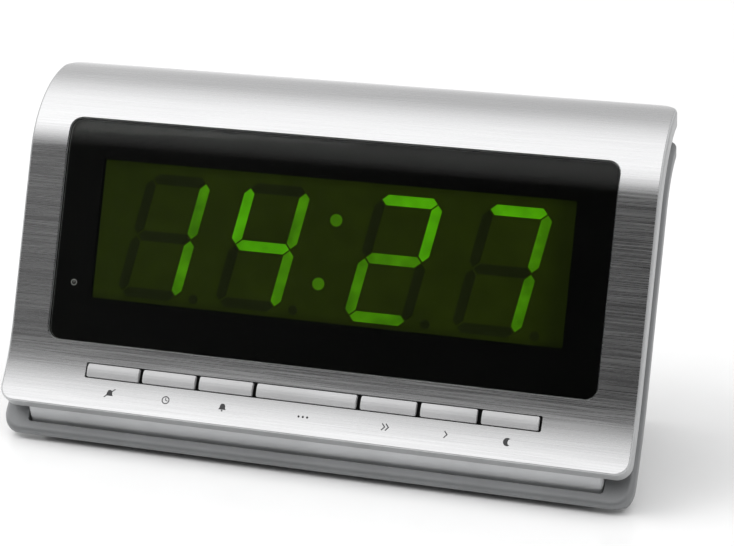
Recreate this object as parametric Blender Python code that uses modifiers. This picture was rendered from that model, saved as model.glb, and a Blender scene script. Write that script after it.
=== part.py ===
"""A mains clock radio: a brushed aluminium fascia on a moulded bezel, standing in front of a wider
rear shell, with the display, keys, loudspeaker, tuner and power parts inside.

Lengths in the code are millimetres and become metres as each mesh is made. +X is the object's
right as seen from its front, the front faces -Y, and Z = 0 is the surface that it stands on.
Nearly everything at the front is placed on the fascia's curve: s runs down along the front face
from the middle of its flat part, and depth goes into the object at right angles to the face.
"""

import math

import bmesh
import bpy
from mathutils import Matrix, Vector

MM = 0.001

# The fascia's curve.
LEAN = math.radians(21.2)
FLAT_UP = 42.9
FLAT_DOWN = 25.7
ROOF_RADIUS = 42.0
FLARE_RADIUS = 90.0
PANEL_MID_Y = -22.5
PANEL_MID_Z = 70.5

# Outer limits of the three front layers.
SKIN_HALF, SKIN_TOP, SKIN_LIP = 127.0, -97.5, 58.4
BEZEL_HALF, BEZEL_BACK_HALF, BEZEL_TOP, BEZEL_LIP = 127.6, 128.6, -98.0, 58.9
BEZEL_DEPTH = 6.2
BEZEL_FRONT = 0.2
SHELL_HALF, SHELL_BACK_HALF, SHELL_TOP, SHELL_LIP = 127.8, 128.9, -85.0, 67.2
SHELL_FRONT, SHELL_WALL, SHELL_BACK = 11.2, 14.2, 18.2
SHELL_BOTTOM = 1.8
CORE_HALF, CORE_TOP = 117.4, -79.0
CORE_FRONT, CORE_BACK = 6.5, 14.0
CORE_LIP_FRONT, CORE_LIP_BACK = 58.2, 62.4
SKIN_THICKNESS = 0.8
GAP = 0.3

# Window and display.
WINDOW_HALF, WINDOW_UP, WINDOW_DOWN, WINDOW_CORNER = 111.75, 58.8, 31.7, 6.0
DISPLAY_MID = -14.0
DISPLAY_HALF, DISPLAY_HEIGHT = 97.6, 56.0
DISPLAY_MODULE_HALF, DISPLAY_MODULE_TALL = 99.0, 30.0
DIGIT_MID = -12.9
DIGIT_HEIGHT, DIGIT_WIDTH, SEGMENT = 50.2, 25.2, 4.0
DIGIT_PLATE_HALF, DIGIT_PLATE_TALL = 17.6, 26.1
COLON_X, COLON_HALF, COLON_TALL, COLON_DOT = 0.6, 5.4, 17.6, 2.6
COLON_UP = (12.2, -13.2)
DIGIT_SLANT = math.radians(10.3)
DIGIT_X = (-67.3, -25.6, 27.8, 70.8)
DIGIT_NAMES = ("hour_tens", "hour_units", "minute_tens", "minute_units")

# Keys, left to right, with the width of each.
KEYS = (
    ("key_alarm_off", 22.35),
    ("key_time", 22.35),
    ("key_alarm_set", 22.35),
    ("key_snooze", 40.85),
    ("key_hour", 22.35),
    ("key_minute", 22.35),
    ("key_sleep", 22.35),
)
KEY_S, KEY_HEIGHT, KEY_SPACE, KEY_PROUD = 43.0, 5.35, 1.5, 1.1
KEY_FLANGE_IN, KEY_FLANGE_OUT = 0.6, 2.0
KEY_FLANGE_FRONT, KEY_FLANGE_BACK = 4.8, 5.9
SLOT_HALF, SLOT_HEIGHT = 92.85, 6.2
STEM_RADIUS, STEM_END = 1.7, 12.6
DOME_FRONT, MAT_FRONT, MAT_BACK = 13.75, 14.3, 15.0

# Rear cabinet, whose walls stand inside the rear shell.
CABINET_HALF, CABINET_WALL = 114.0, 2.2
CABINET_BACK, CABINET_CORNER = 46.5, 6.0
CABINET_TOP, CABINET_BOTTOM = 117.8, 3.0
POSTS = ((-107.8, 110.0, 20.0), (107.8, 110.0, 20.0), (-107.8, 22.0, 7.5), (107.8, 22.0, 7.5))
SPEAKER_X, SPEAKER_Z, SPEAKER_CLAMP = -62.0, 62.0, 38.2
BAY_X0, BAY_X1, BAY_Z0, BAY_Z1, BAY_FRONT = 30.0, 84.0, 8.0, 40.0, 26.5
WHEEL_X, WHEEL_RADIUS, WHEEL_THICK, WHEEL_Y = 102.0, 15.0, 5.0, 32.5
SPINDLE_RADIUS, SPINDLE_END = 3.0, -8.0
TUNING_Z, VOLUME_Z = 88.0, 55.0
MAIN_BOARD_Y = 14.0
BOARD_POSTS = ((8.0, 49.0), (84.0, 101.0))
FUNCTION_X, BAND_X, SWITCH_Z = 36.0, 66.0, 96.0
ROD_Y, ROD_Z, ROD_RADIUS = 31.0, 105.5, 4.8
TRANSFORMER_X, TRANSFORMER_Y = -42.5, 19.5
CORD_X, CORD_Z = -8.0, 15.0
DOOR_Y, DOOR_Z = 45.2, 9.6
FEET = ((-98.0, -28.0), (98.0, -28.0), (-98.0, 34.0), (98.0, 34.0))

for old in list(bpy.data.objects):
    bpy.data.objects.remove(old, do_unlink=True)

radio = bpy.data.collections.new("clock_radio")
cutters = bpy.data.collections.new("cutters")
bpy.context.scene.collection.children.link(radio)
bpy.context.scene.collection.children.link(cutters)
cutters.hide_render = True


# ---------------------------------------------------------------- the fascia's curve
def lean_at(s):
    """How far the front face leans back from upright at s."""
    if s < -FLAT_UP:
        return LEAN + (-FLAT_UP - s) / ROOF_RADIUS
    if s > FLAT_DOWN:
        return LEAN + (s - FLAT_DOWN) / FLARE_RADIUS
    return LEAN


def on_panel(s, depth=0.0):
    """(y, z) at s along the front face and this deep behind it."""
    lean = lean_at(s)
    if s < -FLAT_UP:
        y0 = PANEL_MID_Y + FLAT_UP * math.sin(LEAN)
        z0 = PANEL_MID_Z + FLAT_UP * math.cos(LEAN)
        radius = ROOF_RADIUS - depth
        return (
            y0 + ROOF_RADIUS * math.cos(LEAN) - radius * math.cos(lean),
            z0 - ROOF_RADIUS * math.sin(LEAN) + radius * math.sin(lean),
        )
    if s > FLAT_DOWN:
        y0 = PANEL_MID_Y - FLAT_DOWN * math.sin(LEAN)
        z0 = PANEL_MID_Z - FLAT_DOWN * math.cos(LEAN)
        radius = FLARE_RADIUS + depth
        return (
            y0 - FLARE_RADIUS * math.cos(LEAN) + radius * math.cos(lean),
            z0 + FLARE_RADIUS * math.sin(LEAN) - radius * math.sin(lean),
        )
    return (
        PANEL_MID_Y - s * math.sin(LEAN) + depth * math.cos(LEAN),
        PANEL_MID_Z - s * math.cos(LEAN) - depth * math.sin(LEAN),
    )


def panel_stops(top, lip):
    """Values of s down the curve, close together on its arcs and with none inside its flat part."""
    stops = [top]
    if top < -FLAT_UP:
        count = math.ceil((-FLAT_UP - top) / 5.5)
        stops = [top + (-FLAT_UP - top) * i / count for i in range(count + 1)]
    if lip > FLAT_DOWN:
        count = math.ceil((lip - FLAT_DOWN) / 9.0)
        stops += [FLAT_DOWN + (lip - FLAT_DOWN) * i / count for i in range(count + 1)]
    else:
        stops.append(lip)
    return stops


def panel_frame(s, depth=0.0, x=0.0):
    """Placement whose X is the object's, Y runs up the face and Z stands out of it."""
    lean = lean_at(s)
    y, z = on_panel(s, depth)
    right = Vector((1, 0, 0))
    up = Vector((0, math.sin(lean), math.cos(lean)))
    out = Vector((0, -math.cos(lean), math.sin(lean)))
    rotation = Matrix((right, up, out)).transposed().to_4x4()
    return Matrix.Translation(Vector((x, y, z)) * MM) @ rotation


# ---------------------------------------------------------------- modelling helpers
def finish(name, mesh, colour=None, roughness=0.5, metallic=0.0):
    """Links a mesh as an object: a part with its own material, or a cutter if it has no colour."""
    bm = bmesh.new()
    bm.from_mesh(mesh)
    bmesh.ops.triangulate(bm, faces=bm.faces)
    bm.to_mesh(mesh)
    bm.free()
    obj = bpy.data.objects.new(name, mesh)
    if colour is None:
        cutters.objects.link(obj)
        obj.hide_render = True
        obj.display_type = "WIRE"
        return obj
    radio.objects.link(obj)
    material = bpy.data.materials.new(name)
    material.use_nodes = True
    shader = material.node_tree.nodes["Principled BSDF"]
    shader.inputs["Base Color"].default_value = (*colour, 1.0)
    shader.inputs["Roughness"].default_value = roughness
    shader.inputs["Metallic"].default_value = metallic
    mesh.materials.clear()
    mesh.materials.append(material)
    return obj


def outline_mesh(name, points, half, placement):
    """A flat outline as a filled 2D curve, thickened by half to each side and made a mesh."""
    curve = bpy.data.curves.new(name, "CURVE")
    curve.dimensions = "2D"
    curve.fill_mode = "BOTH"
    curve.extrude = half * MM
    spline = curve.splines.new("POLY")
    spline.points.add(len(points) - 1)
    for point, (u, v) in zip(spline.points, points):
        point.co = (u * MM, v * MM, 0.0, 1.0)
    spline.use_cyclic_u = True
    source = bpy.data.objects.new(name, curve)
    bpy.context.scene.collection.objects.link(source)
    graph = bpy.context.evaluated_depsgraph_get()
    mesh = bpy.data.meshes.new_from_object(source.evaluated_get(graph))
    bpy.data.objects.remove(source)
    bm = bmesh.new()
    bm.from_mesh(mesh)
    bmesh.ops.remove_doubles(bm, verts=bm.verts, dist=1e-6)
    bmesh.ops.transform(bm, matrix=placement, verts=bm.verts)
    bmesh.ops.recalc_face_normals(bm, faces=bm.faces)
    bm.to_mesh(mesh)
    bm.free()
    return mesh


SIDEWAYS = Matrix(((0, 0, 1, 0), (1, 0, 0, 0), (0, 1, 0, 0), (0, 0, 0, 1)))


def profile_mesh(name, points, half_width, x=0.0):
    """A side outline of (y, z) points carried across the width."""
    return outline_mesh(name, points, half_width, Matrix.Translation((x * MM, 0, 0)) @ SIDEWAYS)


def sheet_mesh(name, half, top, lip, front, back, back_half=None, back_lip=None):
    """A layer that follows the fascia's curve between two depths; its back may be wider or longer."""
    back_half = back_half or half
    stretch = ((back_lip or lip) - FLAT_DOWN) / (lip - FLAT_DOWN)
    bm = bmesh.new()
    rings = []
    for s in panel_stops(top, lip):
        back_s = FLAT_DOWN + (s - FLAT_DOWN) * stretch if s > FLAT_DOWN else s
        near, far = on_panel(s, front), on_panel(back_s, back)
        corners = ((-half, *near), (half, *near), (back_half, *far), (-back_half, *far))
        rings.append([bm.verts.new(Vector(corner) * MM) for corner in corners])
    for ring, after in zip(rings, rings[1:]):
        for i in range(4):
            bm.faces.new((ring[i], ring[i - 1], after[i - 1], after[i]))
    bm.faces.new(rings[0])
    bm.faces.new(rings[-1])
    bmesh.ops.recalc_face_normals(bm, faces=bm.faces)
    mesh = bpy.data.meshes.new(name)
    bm.to_mesh(mesh)
    bm.free()
    return mesh


def rounded(half_x, low, high, radius, steps=5):
    """A rounded rectangle, centred on X, from low to high."""
    corners = (
        (half_x - radius, high - radius, 0),
        (-half_x + radius, high - radius, 90),
        (-half_x + radius, low + radius, 180),
        (half_x - radius, low + radius, 270),
    )
    points = []
    for x, y, start in corners:
        for i in range(steps + 1):
            turn = math.radians(start + 90 * i / steps)
            points.append((x + radius * math.cos(turn), y + radius * math.sin(turn)))
    return points


def plate_mesh(name, points, s, front, back, x=0.0):
    """An outline on the face at s, filled between two depths."""
    placement = panel_frame(s, (front + back) / 2, x)
    return outline_mesh(name, points, (back - front) / 2, placement)


def box_mesh(name, x0, x1, y0, y1, z0, z1):
    mesh = bpy.data.meshes.new(name)
    bm = bmesh.new()
    bmesh.ops.create_cube(bm, size=1.0)
    size = Vector((x1 - x0, y1 - y0, z1 - z0)) * MM
    centre = Vector((x0 + x1, y0 + y1, z0 + z1)) * MM / 2
    placement = Matrix.Translation(centre) @ Matrix.Diagonal((*size, 1.0))
    bmesh.ops.transform(bm, matrix=placement, verts=bm.verts)
    bm.to_mesh(mesh)
    bm.free()
    return mesh


AXES = {
    "x": Matrix.Rotation(math.pi / 2, 4, "Y"),
    "y": Matrix.Rotation(-math.pi / 2, 4, "X"),
    "z": Matrix.Identity(4),
}


def cylinder_mesh(name, radius, start, end, placement, sides=24):
    """A cylinder along the placement's Z, from start to end."""
    mesh = bpy.data.meshes.new(name)
    bm = bmesh.new()
    bmesh.ops.create_cone(
        bm,
        cap_ends=True,
        segments=sides,
        radius1=radius * MM,
        radius2=radius * MM,
        depth=(end - start) * MM,
        matrix=placement @ Matrix.Translation((0, 0, (start + end) / 2 * MM)),
    )
    bm.to_mesh(mesh)
    bm.free()
    mesh.shade_smooth()
    mesh.set_sharp_from_angle(angle=math.radians(40))
    return mesh


def rod(name, radius, axis, centre, start, end, sides=24, **look):
    """A cylinder along a world axis: start and end are counted from centre."""
    placement = Matrix.Translation(Vector(centre) * MM) @ AXES[axis]
    return finish(name, cylinder_mesh(name, radius, start, end, placement, sides), **look)


def turned(name, profile, axis, centre, steps=32, closed=False, **look):
    """A profile of (radius, height) points, outer side from top to bottom, turned on its axis."""
    mesh = bpy.data.meshes.new(name)
    edges = [(i, i + 1) for i in range(len(profile) - 1)]
    if closed:
        edges.append((len(profile) - 1, 0))
    mesh.from_pydata([(r * MM, 0.0, h * MM) for r, h in profile], edges, [])
    obj = finish(name, mesh, **look)
    obj.location = Vector(centre) * MM
    obj.rotation_euler = AXES[axis].to_euler()
    screw = obj.modifiers.new("turn", "SCREW")
    screw.steps = screw.render_steps = steps
    screw.use_merge_vertices = True
    screw.merge_threshold = 0.00001
    return obj


def boolean(obj, other, operation="DIFFERENCE"):
    step = obj.modifiers.new(operation.lower(), "BOOLEAN")
    step.operation = operation
    step.object = other
    return obj


def cut(obj, *meshes):
    for mesh in meshes:
        boolean(obj, finish(f"{obj.name}_cut_{len(obj.modifiers)}", mesh))
    return obj


def join(obj, *meshes):
    for mesh in meshes:
        boolean(obj, finish(f"{obj.name}_add_{len(obj.modifiers)}", mesh), "UNION")
    return obj


def set_origin(obj, point):
    """Puts the object's origin at a point of its joint's axis and leaves its shape where it is."""
    place = Vector(point) * MM
    obj.data.transform(Matrix.Translation(-place))
    obj.location = place


def soften(obj, width, segments=2):
    bevel = obj.modifiers.new("soft_edges", "BEVEL")
    bevel.width = width * MM
    bevel.segments = segments
    bevel.limit_method = "ANGLE"
    bevel.angle_limit = math.radians(40)
    return obj


def round_corners(obj, half, s, radius, end, reach=20.0):
    """Rounds the two corners of a layer at its end s; end is 1 at the roof and -1 at the lip."""
    arc = [math.radians(90 * i / 5) for i in range(6)]
    for side in (-1, 1):
        points = [
            (side * (half - radius + radius * math.cos(a)), end * (radius * math.sin(a) - radius))
            for a in arc
        ]
        points += [(side * (half - radius), end * 5), (side * (half + 6), end * 5)]
        points += [(side * (half + 6), -end * radius)]
        cut(obj, plate_mesh("corner", points, s, -reach, reach))
    return obj


SILVER = dict(colour=(0.60, 0.61, 0.62), roughness=0.38)
GREY = dict(colour=(0.36, 0.37, 0.38), roughness=0.42)
BLACK = dict(colour=(0.02, 0.02, 0.022), roughness=0.5)
STEEL = dict(colour=(0.62, 0.62, 0.64), roughness=0.3, metallic=1.0)
BOARD = dict(colour=(0.45, 0.36, 0.16), roughness=0.6)
COPPER = dict(colour=(0.60, 0.27, 0.10), roughness=0.4, metallic=0.8)
RUBBER = dict(colour=(0.03, 0.03, 0.03), roughness=0.85)


# ---------------------------------------------------------------- front layers
def window_mesh(name, inset, front, back, corner=WINDOW_CORNER):
    points = rounded(WINDOW_HALF - inset, -WINDOW_DOWN + inset, WINDOW_UP - inset, corner)
    return plate_mesh(name, points, 0.0, front, back)


def key_slot_mesh(name, grow, front, back):
    half = SLOT_HALF + grow
    tall = SLOT_HEIGHT / 2 + grow
    return plate_mesh(name, rounded(half, -tall, tall, 0.6, 1), KEY_S, front, back)


def make_fascia():
    skin = finish(
        "fascia_skin",
        sheet_mesh("fascia_skin", SKIN_HALF, SKIN_TOP, SKIN_LIP, 0.0, SKIN_THICKNESS),
        colour=(0.58, 0.58, 0.59),
        roughness=0.3,
        metallic=1.0,
    )
    cut(skin, window_mesh("window", 0.0, -15, 20), key_slot_mesh("slot", 0.0, -8, 8))
    round_corners(skin, SKIN_HALF, SKIN_LIP, 7.5, -1)
    round_corners(skin, SKIN_HALF, SKIN_TOP, 4.5, 1, reach=9.0)

    bezel = finish(
        "front_bezel",
        sheet_mesh(
            "front_bezel", BEZEL_HALF, BEZEL_TOP, BEZEL_LIP, BEZEL_FRONT, BEZEL_DEPTH, BEZEL_BACK_HALF
        ),
        **SILVER,
    )
    seat = SKIN_THICKNESS + GAP
    pocket_half = BEZEL_HALF - 2.4
    cut(
        bezel,
        sheet_mesh("seat", SKIN_HALF + GAP, SKIN_TOP - GAP, SKIN_LIP + GAP, -4.0, seat),
        sheet_mesh("pocket", pocket_half, BEZEL_TOP + 2.4, BEZEL_LIP - 2.4, 4.4, BEZEL_DEPTH + 5),
        window_mesh("opening", 2.8, -15, 24, 4.0),
        key_slot_mesh("slot", 0.0, -8, 9),
    )
    lens_seat = finish("lens_seat", sheet_mesh("lens_seat", 119.0, -67.0, 41.0, -12.0, 2.8))
    outline = finish("lens_seat_outline", window_mesh("lens_seat_outline", 0.0, -20, 30))
    boolean(lens_seat, outline, "INTERSECT")
    boolean(bezel, lens_seat)
    round_corners(bezel, BEZEL_HALF, BEZEL_LIP, 8.0, -1)
    round_corners(bezel, BEZEL_HALF, BEZEL_TOP, 5.0, 1, reach=9.0)

    lens = finish(
        "display_lens",
        sheet_mesh("display_lens", 120.0, -66.0, 40.0, 0.35, 2.35),
        colour=(0.01, 0.012, 0.01),
        roughness=0.05,
    )
    boolean(lens, finish("lens_outline", window_mesh("lens_outline", 0.35, -20, 30)), "INTERSECT")


def segment_outline(cx, cy, length, flat):
    """One bar of a digit with pointed ends, lying (flat) or standing, and slanted."""
    half, tip = length / 2, SEGMENT / 2
    bar = [(-half, 0), (-half + tip, tip), (half - tip, tip)]
    bar += [(half, 0), (half - tip, -tip), (-half + tip, -tip)]
    if not flat:
        bar = [(-v, u) for u, v in bar]
    return [(cx + u + (cy + v) * math.tan(DIGIT_SLANT), cy + v) for u, v in bar]


def digit_segments():
    """Centre, length and direction of the seven bars, from the digit's centre."""
    wide = DIGIT_WIDTH - SEGMENT
    tall = (DIGIT_HEIGHT - SEGMENT) / 2
    bars = [(0, row * tall, wide - 1.0, True) for row in (1, 0, -1)]
    bars += [
        (side * wide / 2, row * tall / 2, tall - 1.0, False) for side in (-1, 1) for row in (1, -1)
    ]
    return bars


def make_display():
    tall = DISPLAY_HEIGHT / 2
    finish(
        "display_filter",
        plate_mesh("display_filter", rounded(DISPLAY_HALF, -tall, tall, 1.0, 1), DISPLAY_MID, 4.8, 5.1),
        colour=(0.02, 0.10, 0.02),
        roughness=0.3,
    )
    module = finish(
        "digit_module",
        plate_mesh(
            "digit_module",
            rounded(DISPLAY_MODULE_HALF, -DISPLAY_MODULE_TALL, DISPLAY_MODULE_TALL, 1.0, 1),
            DISPLAY_MID,
            5.4,
            13.6,
        ),
        colour=(0.10, 0.11, 0.09),
        roughness=0.6,
    )
    for name, x in zip(DIGIT_NAMES, DIGIT_X):
        half, tall = DIGIT_PLATE_HALF, DIGIT_PLATE_TALL
        recess = rounded(half + 0.4, -tall - 0.4, tall + 0.4, 1.0, 1)
        cut(module, plate_mesh("recess", recess, DIGIT_MID, 0, 8.6, x))
        digit = finish(
            f"digit_{name}",
            plate_mesh(name, rounded(half, -tall, tall, 1.0, 1), DIGIT_MID, 7.0, 8.3, x),
            colour=(0.10, 0.55, 0.05),
            roughness=0.5,
        )
        for cx, cy, length, flat in digit_segments():
            bar = segment_outline(cx, cy, length, flat)
            join(digit, plate_mesh("segment", bar, DIGIT_MID, 5.4, 7.6, x))
    half, tall = COLON_HALF, COLON_TALL
    recess = rounded(half + 0.4, -tall - 0.4, tall + 0.4, 1.0, 1)
    cut(module, plate_mesh("colon_recess", recess, DISPLAY_MID, 0, 8.6, COLON_X))
    colon = finish(
        "colon_dots",
        plate_mesh("colon_dots", rounded(half, -tall, tall, 1.0, 1), DISPLAY_MID, 7.0, 8.3, COLON_X),
        colour=(0.10, 0.55, 0.05),
        roughness=0.5,
    )
    for up in COLON_UP:
        placement = panel_frame(DISPLAY_MID, 0.0, COLON_X + up * math.tan(DIGIT_SLANT))
        placement = placement @ Matrix.Translation((0, up * MM, 0))
        join(colon, cylinder_mesh("dot", COLON_DOT, -7.6, -5.4, placement, 20))
    board = plate_mesh("display_board", rounded(111.4, -31, 29, 1.0, 1), DISPLAY_MID, 14.4, 16.0)
    finish("display_board", board, **BOARD)
    lamp = panel_frame(3.0, 0.0, -103.5)
    finish(
        "auto_lamp",
        cylinder_mesh("auto_lamp", 1.5, -14.1, -6.0, lamp, 16),
        colour=(0.2, 0.5, 0.1),
        roughness=0.2,
    )
    chip = plate_mesh("clock_chip", rounded(18.0, -7, 7, 0.5, 1), DISPLAY_MID, 16.3, 20.3, -40.0)
    finish("clock_chip", chip, **BLACK)


def make_keys():
    total = sum(width for _, width in KEYS) + KEY_SPACE * (len(KEYS) - 1)
    x = -total / 2
    domes = []
    for name, width in KEYS:
        middle = x + width / 2
        x += width + KEY_SPACE
        tall = KEY_HEIGHT / 2
        key = finish(
            name,
            plate_mesh(name, rounded(width / 2, -tall, tall, 0.5, 2), KEY_S, -KEY_PROUD, 5.0, middle),
            colour=(0.62, 0.62, 0.63),
            roughness=0.3,
        )
        soften(key, 0.45, 1)
        reach = tall + KEY_FLANGE_OUT
        flange = rounded(width / 2 - KEY_FLANGE_IN, -reach, reach, 0.5, 1)
        place = panel_frame(KEY_S, 0.0, middle)
        join(
            key,
            plate_mesh("flange", flange, KEY_S, KEY_FLANGE_FRONT, KEY_FLANGE_BACK, middle),
            cylinder_mesh("stem", STEM_RADIUS, -STEM_END, -KEY_FLANGE_FRONT - 0.4, place, 16),
        )
        set_origin(key, (middle, *on_panel(KEY_S)))
        domes.append(cylinder_mesh("dome", 3.0, -MAT_FRONT - 0.3, -DOME_FRONT, place, 16))
    mat = plate_mesh("keypad_mat", rounded(94.5, -5.5, 5.5, 1.0, 1), KEY_S, MAT_FRONT, MAT_BACK)
    join(finish("keypad_mat", mat, **RUBBER), *domes)
    board = plate_mesh("key_board", rounded(101.0, -6.5, 6.5, 1.0, 1), KEY_S, 15.3, 16.9)
    finish("key_board", board, **BOARD)


def at_back(x, z, y=0.0):
    """Placement whose Z axis is the object's +Y."""
    return Matrix.Translation(Vector((x, y, z)) * MM) @ AXES["y"]


# Standoffs on the core that carry the display board and the key board.
STANDOFFS = tuple((x, s, 1.5, 14.1) for x in (-110.6, 110.6) for s in (-40.0, 12.0))
STANDOFFS += tuple((x, KEY_S, 2.0, 15.0) for x in (-98.2, 98.2))


def make_core():
    core = finish(
        "core_housing",
        sheet_mesh(
            "core_housing",
            CORE_HALF,
            CORE_TOP,
            CORE_LIP_FRONT,
            CORE_FRONT,
            CORE_BACK,
            back_lip=CORE_LIP_BACK,
        ),
        **SILVER,
    )
    cut(
        core,
        window_mesh("core_window", 2.8, -15, 24, 4.0),
        key_slot_mesh("core_slot", 2.6, -8, 12),
        sheet_mesh("core_pocket", CORE_HALF - 2.5, CORE_TOP + 2.5, 56.5, CORE_FRONT + 2, CORE_BACK + 8),
    )
    for x, z, y in POSTS:
        start = -46.0 if z < 60 else 0.0
        post = finish("post", cylinder_mesh("post", 4.0, start, y, at_back(x, z), 16))
        cut(
            post,
            sheet_mesh("front_space", 140.0, -95.0, 66.0, -20.0, CORE_FRONT + 0.9),
            cylinder_mesh("pilot", 1.7, y - 11.0, y + 5.0, at_back(x, z), 12),
        )
        boolean(core, post, "UNION")
    for x, s, radius, end in STANDOFFS:
        join(core, cylinder_mesh("standoff", radius, -end, -7.3, panel_frame(s, 0.0, x), 12))


def make_rear_shell():
    shell = finish(
        "rear_shell",
        sheet_mesh(
            "rear_shell",
            SHELL_HALF,
            SHELL_TOP,
            SHELL_LIP,
            SHELL_FRONT,
            SHELL_BACK,
            SHELL_BACK_HALF,
        ),
        **GREY,
    )
    hollow_half = SHELL_HALF - 2.0
    cut(
        shell,
        sheet_mesh("hollow", hollow_half, SHELL_TOP + 2.2, SHELL_LIP - 2.8, SHELL_WALL, SHELL_BACK + 6),
        sheet_mesh("core_way", CORE_HALF + 0.4, CORE_TOP - 0.8, 62.9, SHELL_FRONT - 5, SHELL_WALL + 3),
        box_mesh("underside", -140, 140, -80, 40, -20, SHELL_BOTTOM),
    )
    round_corners(shell, SHELL_HALF, SHELL_LIP, 8.5, -1, reach=24.0)
    round_corners(shell, SHELL_HALF, SHELL_TOP, 4.0, 1, reach=18.6)


# ---------------------------------------------------------------- rear cabinet
def arc_points(cy, cz, radius, start, end, steps=4):
    turns = [math.radians(start + (end - start) * i / steps) for i in range(steps + 1)]
    return [(cy + radius * math.cos(a), cz + radius * math.sin(a)) for a in turns]


def cabinet_outline(inset, depth):
    """Side outline of the cabinet, open to the front layers at this depth behind the fascia."""
    back, top, bottom = CABINET_BACK - inset, CABINET_TOP - inset, CABINET_BOTTOM + inset
    corner = CABINET_CORNER - inset
    front = [on_panel(s, depth) for s in panel_stops(-84.0, 60.0)]
    front = [p for p in front if bottom < p[1] < top - 0.5]
    points = front + [(-40.5, bottom)]
    points += arc_points(back - corner, bottom + corner, corner, -90, 0)
    points += arc_points(back - corner, top - corner, corner, 0, 90)
    points += [(front[0][0] + 3.0, top)]
    return points


def make_cabinet():
    cabinet = finish(
        "rear_cabinet",
        profile_mesh("rear_cabinet", cabinet_outline(0.0, SHELL_WALL + 0.5), CABINET_HALF),
        **GREY,
    )
    inside_half = CABINET_HALF - CABINET_WALL
    bay = box_mesh("bay", BAY_X0 - 1.6, BAY_X1 + 1.6, BAY_FRONT - 1.6, 45, BAY_Z0 - 1.6, BAY_Z1 + 1.6)
    cut(cabinet, profile_mesh("inside", cabinet_outline(CABINET_WALL, 2.0), inside_half))
    rim = sheet_mesh("rim", SHELL_HALF - 2.6, SHELL_TOP + 4.2, 57.0, SHELL_WALL + 0.5, SHELL_BACK - 1.4)
    join(cabinet, rim)
    cut(cabinet, sheet_mesh("rim_way", inside_half, CORE_TOP + 7.0, 55.0, 5.0, SHELL_BACK + 4))
    join(cabinet, bay)
    for x, z, y in POSTS:
        join(cabinet, cylinder_mesh("boss", 4.6, y + GAP, CABINET_BACK - 1.0, at_back(x, z), 16))
    for x, z in BOARD_POSTS:
        start = MAIN_BOARD_Y + 1.6 + GAP
        join(cabinet, cylinder_mesh("board_post", 3.2, start, CABINET_BACK - 1.0, at_back(x, z), 16))
    for side in (-1, 1):
        boss = at_back(SPEAKER_X + side * SPEAKER_CLAMP, SPEAKER_Z)
        join(cabinet, cylinder_mesh("speaker_boss", 2.6, 42.0, CABINET_BACK - 1.0, boss, 14))
    for x in (-84.0, -12.0):
        join(cabinet, box_mesh("rod_rib", x - 1.5, x + 1.5, ROD_Y - 8, 45.5, ROD_Z - 8, 111.0))

    back = CABINET_BACK
    holes = [cylinder_mesh("boss_bore", 3.3, y + 3.0, back + 2, at_back(x, z), 16) for x, z, y in POSTS]
    holes += [cylinder_mesh("screw_way", 1.8, y - 2, y + 6, at_back(x, z), 12) for x, z, y in POSTS]
    holes += [
        box_mesh("bay_space", BAY_X0, BAY_X1, BAY_FRONT, back + 2, BAY_Z0, BAY_Z1),
        cylinder_mesh("cord_hole", 5.3, back - 8, back + 2, at_back(CORD_X, CORD_Z), 24),
        cylinder_mesh("aerial_hole", 1.6, back - 8, back + 2, at_back(-98.0, 96.0), 12),
    ]
    for x, half in ((FUNCTION_X, 7.2), (BAND_X, 5.2)):
        low, high = SWITCH_Z - 2.4, SWITCH_Z + 2.4
        holes.append(box_mesh("switch_slot", x - half, x + half, 40, back + 2, low, high))
    for x, z in BOARD_POSTS:
        holes.append(cylinder_mesh("board_pilot", 1.5, MAIN_BOARD_Y, 26.0, at_back(x, z), 12))
    for side in (-1, 1):
        boss = at_back(SPEAKER_X + side * SPEAKER_CLAMP, SPEAKER_Z)
        holes.append(cylinder_mesh("speaker_pilot", 1.3, 40.0, 45.4, boss, 12))
    for z in (TUNING_Z, VOLUME_Z):
        near, far = WHEEL_Y - 1.0, WHEEL_Y + WHEEL_THICK + 1.0
        holes.append(box_mesh("wheel_slot", 105, 118, near, far, z - 12.4, z + 12.4))
    for i in range(-6, 7):
        reach = math.sqrt(30.0**2 - (4.4 * i) ** 2)
        x = SPEAKER_X + 4.4 * i
        low, high = SPEAKER_Z - reach, SPEAKER_Z + reach
        holes.append(box_mesh("sound_slot", x - 1.1, x + 1.1, back - 8, back + 2, low, high))
    for x in (BAY_X0 - 1.3, BAY_X1 + 1.3):
        place = Matrix.Translation(Vector((x, DOOR_Y, DOOR_Z)) * MM) @ AXES["x"]
        holes.append(cylinder_mesh("pin_hole", 0.95, -1.4, 1.4, place, 12))
    rod_place = Matrix.Translation(Vector((0, ROD_Y, ROD_Z)) * MM) @ AXES["x"]
    holes.append(cylinder_mesh("rod_way", ROD_RADIUS + GAP, -90, -5, rod_place, 24))
    cut(cabinet, *holes)


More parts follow.
